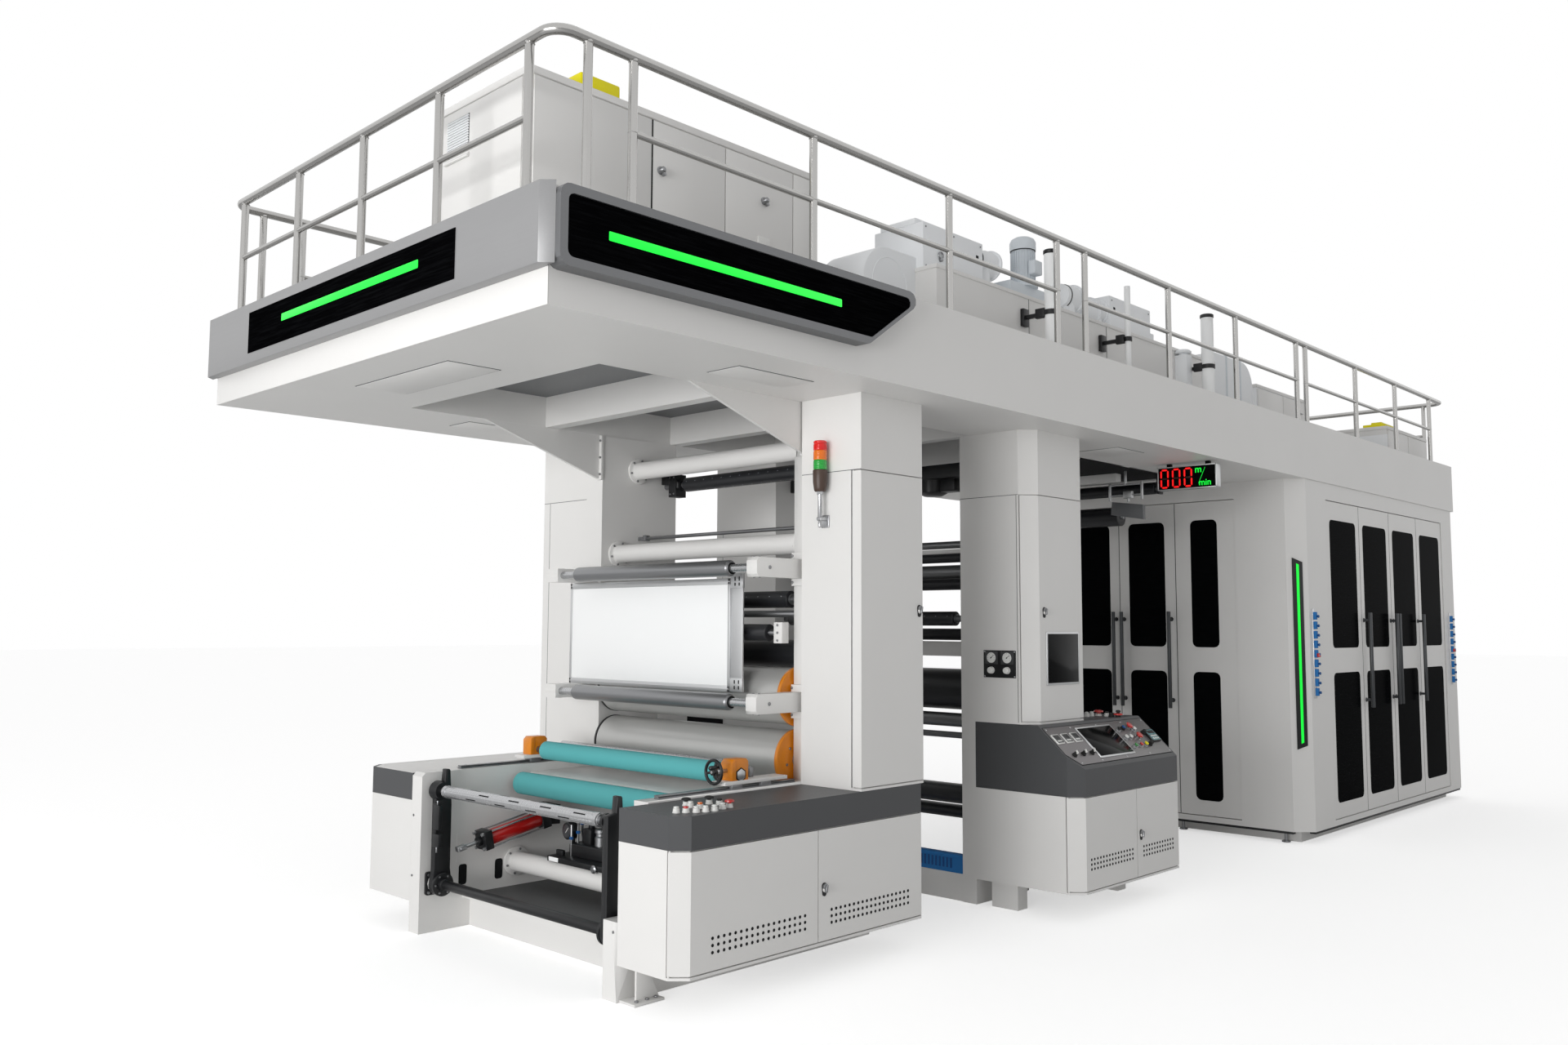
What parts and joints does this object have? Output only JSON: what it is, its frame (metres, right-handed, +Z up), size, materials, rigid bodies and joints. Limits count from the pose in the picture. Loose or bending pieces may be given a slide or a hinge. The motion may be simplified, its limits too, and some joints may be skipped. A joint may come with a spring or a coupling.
{
  "type": "flexographic printing press",
  "caption": "Flexographic printing press: reel unwind, roller stands, control console and glazed drum house under a long service platform with a guard rail.",
  "frame": {"origin": "middle of the machine's outline, on the floor", "axes": "+X along the machine from the unwind to the drum house, -Y towards the operator side, +Z up"},
  "size_m": [11.02, 3.18, 4.148],
  "materials": {
    "light_grey_paint": "fine textured powder coat, satin",
    "dark_grey_paint": "fine textured powder coat, satin",
    "brushed_grey": "brushed, semi-gloss",
    "black_gloss": "dark tinted glass and screens, glossy",
    "black_paint": "satin",
    "black_rubber": "matt to satin",
    "steel": "polished stainless steel",
    "roller_steel": "ground steel",
    "drum_chrome": "polished",
    "teal_rubber": "matt",
    "orange_paint": "satin",
    "red_paint": "gloss",
    "blue_plastic": "matt",
    "white_panel": "satin white sheet in an aluminium frame",
    "signal_plastic": "translucent coloured lenses"
  },
  "bodies": {
    "root": {"arm_cylinder": "red_paint", "cable_duct": "blue_plastic", "console_cabinet": "light_grey_paint", "console_desk": "dark_grey_paint", "drive_cabinet": "light_grey_paint", "drive_cabinet_top": "dark_grey_paint", "drive_front_frame": "light_grey_paint", "drive_girder": "light_grey_paint", "drive_nip_block": "orange_paint", "drive_rear_frame": "light_grey_paint", "drum_house": "light_grey_paint", "electrical_cabinet": "light_grey_paint", "fan_duct": "light_grey_paint", "far_cabinet": "light_grey_paint", "front_band": "brushed_grey", "front_base_tray": "light_grey_paint", "guard_rail": "steel", "house_front_first_folding_door": "light_grey_paint", "house_front_glass": "black_gloss", "house_front_second_folding_door": "light_grey_paint", "house_side_first_folding_door": "light_grey_paint", "house_side_glass": "black_gloss", "house_side_second_folding_door": "light_grey_paint", "inspection_panel": "white_panel", "lower_tie_pipe": "light_grey_paint", "operator_cabinet": "light_grey_paint", "operator_cabinet_top": "dark_grey_paint", "operator_front_column": "light_grey_paint", "operator_front_frame": "light_grey_paint", "operator_girder": "light_grey_paint", "operator_nip_block": "orange_paint", "operator_rear_stand": "light_grey_paint", "operator_sign": "dark_grey_paint", "platform_deck": "light_grey_paint", "rear_cabinet": "light_grey_paint", "signal_tower": "signal_plastic", "speed_display": "black_gloss", "unwind_tie_pipe": "light_grey_paint", "upper_tie_pipe": "light_grey_paint", "web_guide_unit": "black_paint"},
    "operator_cabinet_front_door": {"operator_cabinet_front_door": "light_grey_paint"},
    "operator_cabinet_rear_door": {"operator_cabinet_rear_door": "light_grey_paint"},
    "operator_front_column_door": {"operator_front_column_door": "light_grey_paint"},
    "operator_rear_column_door": {"operator_rear_column_door": "light_grey_paint"},
    "console_front_door": {"console_front_door": "light_grey_paint"},
    "console_rear_door": {"console_rear_door": "light_grey_paint"},
    "unwind_arms": {"unwind_arms": "black_paint"},
    "air_shaft": {"air_shaft": "steel"},
    "nip_roller": {"nip_roller": "teal_rubber"},
    "pull_roller": {"pull_roller": "teal_rubber"},
    "upper_guide_roller": {"upper_guide_roller": "roller_steel"},
    "lower_guide_roller": {"lower_guide_roller": "roller_steel"},
    "upper_drum": {"upper_drum": "drum_chrome"},
    "lower_drum": {"lower_drum": "drum_chrome"},
    "dark_drum": {"dark_drum": "black_rubber"},
    "front_idler": {"front_idler": "black_rubber"},
    "top_idler": {"top_idler": "black_rubber"},
    "rear_drum": {"rear_drum": "black_rubber"},
    "rear_idler": {"rear_idler": "black_rubber"},
    "nip_handwheel": {"nip_handwheel": "black_paint"}
  },
  "joints": [
    {"name": "operator_cabinet_front_door_hinge", "type": "hinge", "parent": "root", "child": "operator_cabinet_front_door", "pos_m": [-4.561, -1.1915, 0.44], "axis": [0, 0, -1], "range_deg": [0, 110]},
    {"name": "operator_cabinet_rear_door_hinge", "type": "hinge", "parent": "root", "child": "operator_cabinet_rear_door", "pos_m": [-2.855, -1.1915, 0.44], "axis": [0, 0, 1], "range_deg": [0, 110]},
    {"name": "operator_front_column_door_hinge", "type": "hinge", "parent": "root", "child": "operator_front_column_door", "pos_m": [-3.385, -1.203, 1.65], "axis": [0, 0, -1], "range_deg": [0, 110]},
    {"name": "operator_rear_column_door_hinge", "type": "hinge", "parent": "root", "child": "operator_rear_column_door", "pos_m": [-1.295, -1.203, 1.76], "axis": [0, 0, 1], "range_deg": [0, 110]},
    {"name": "console_front_door_hinge", "type": "hinge", "parent": "root", "child": "console_front_door", "pos_m": [-1.85, -1.476, 0.42], "axis": [0, 0, -1], "range_deg": [0, 110]},
    {"name": "console_rear_door_hinge", "type": "hinge", "parent": "root", "child": "console_rear_door", "pos_m": [-0.67, -1.535, 0.42], "axis": [0, 0, 1], "range_deg": [0, 110]},
    {"name": "unwind_arms_swing", "type": "hinge", "parent": "root", "child": "unwind_arms", "pos_m": [-4.475, 0.045, 0.262], "axis": [0, -1, 0], "range_deg": [0, 60]},
    {"name": "air_shaft_spin", "type": "hinge", "parent": "unwind_arms", "child": "air_shaft", "pos_m": [-4.492, 0.045, 0.757], "axis": [0, 1, 0], "continuous": true},
    {"name": "nip_roller_spin", "type": "hinge", "parent": "root", "child": "nip_roller", "pos_m": [-3.81, 0.045, 0.925], "axis": [0, 1, 0], "continuous": true},
    {"name": "pull_roller_spin", "type": "hinge", "parent": "root", "child": "pull_roller", "pos_m": [-3.96, 0.045, 0.75], "axis": [0, 1, 0], "continuous": true},
    {"name": "upper_guide_roller_spin", "type": "hinge", "parent": "root", "child": "upper_guide_roller", "pos_m": [-3.65, 0.045, 1.947], "axis": [0, 1, 0], "continuous": true},
    {"name": "lower_guide_roller_spin", "type": "hinge", "parent": "root", "child": "lower_guide_roller", "pos_m": [-3.65, 0.045, 1.258], "axis": [0, 1, 0], "continuous": true},
    {"name": "upper_drum_spin", "type": "hinge", "parent": "root", "child": "upper_drum", "pos_m": [-3.277, 0.045, 1.278], "axis": [0, 1, 0], "continuous": true},
    {"name": "lower_drum_spin", "type": "hinge", "parent": "root", "child": "lower_drum", "pos_m": [-3.295, 0.045, 0.952], "axis": [0, 1, 0], "continuous": true},
    {"name": "dark_drum_spin", "type": "hinge", "parent": "root", "child": "dark_drum", "pos_m": [-3.09, 0.045, 1.496], "axis": [0, 1, 0], "continuous": true},
    {"name": "front_idler_spin", "type": "hinge", "parent": "root", "child": "front_idler", "pos_m": [-3.24, 0.045, 1.793], "axis": [0, 1, 0], "continuous": true},
    {"name": "top_idler_spin", "type": "hinge", "parent": "root", "child": "top_idler", "pos_m": [-2.87, 0.045, 2.545], "axis": [0, 1, 0], "continuous": true},
    {"name": "rear_drum_spin", "type": "hinge", "parent": "root", "child": "rear_drum", "pos_m": [-1.53, 0.045, 1.25], "axis": [0, 1, 0], "continuous": true},
    {"name": "rear_idler_spin", "type": "hinge", "parent": "root", "child": "rear_idler", "pos_m": [-1.75, 0.045, 1.7], "axis": [0, 1, 0], "continuous": true},
    {"name": "nip_handwheel_turn", "type": "hinge", "parent": "root", "child": "nip_handwheel", "pos_m": [-3.96, -0.802, 0.945], "axis": [1, 0, 0], "continuous": true}
  ]
}
